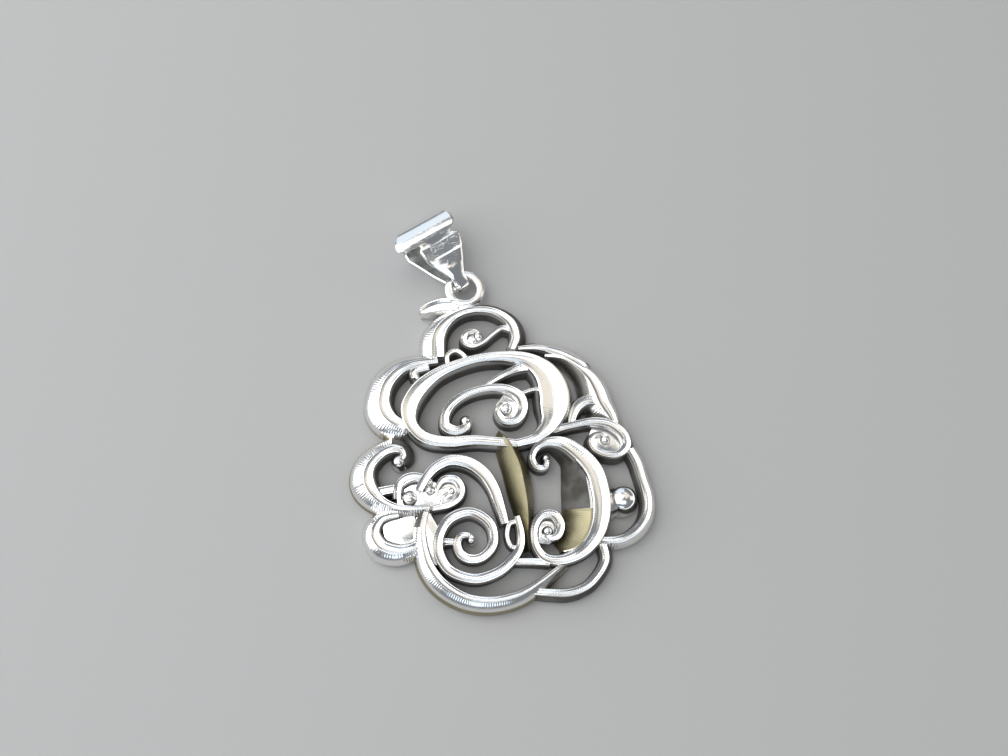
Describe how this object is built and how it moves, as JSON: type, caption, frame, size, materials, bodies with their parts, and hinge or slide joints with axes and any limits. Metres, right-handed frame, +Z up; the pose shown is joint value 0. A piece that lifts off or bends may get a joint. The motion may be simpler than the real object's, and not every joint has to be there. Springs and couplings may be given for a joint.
{
  "type": "pendant",
  "caption": "Cast silver filigree pendant of curling scrolls around a slim leaf, lying on its back, with a soldered ring and a tapered folded bail that flares at its top.",
  "frame": {"origin": "Bottom centre of the whole pendant's bounding box, on the surface that it lies on.", "axes": "+Z up from the back to the crowns, +Y from the scrollwork to the bail, +X to the right seen from the front."},
  "size_m": [0.022, 0.032, 0.0036],
  "materials": {
    "cast_silver": "cast silver, polished crowns with fine cut lines, duller in the recesses",
    "sheet_silver": "polished silver sheet with light handling scratches"
  },
  "bodies": {
    "root": {"scrollwork": "cast_silver", "bail": "sheet_silver"}
  },
  "joints": []
}
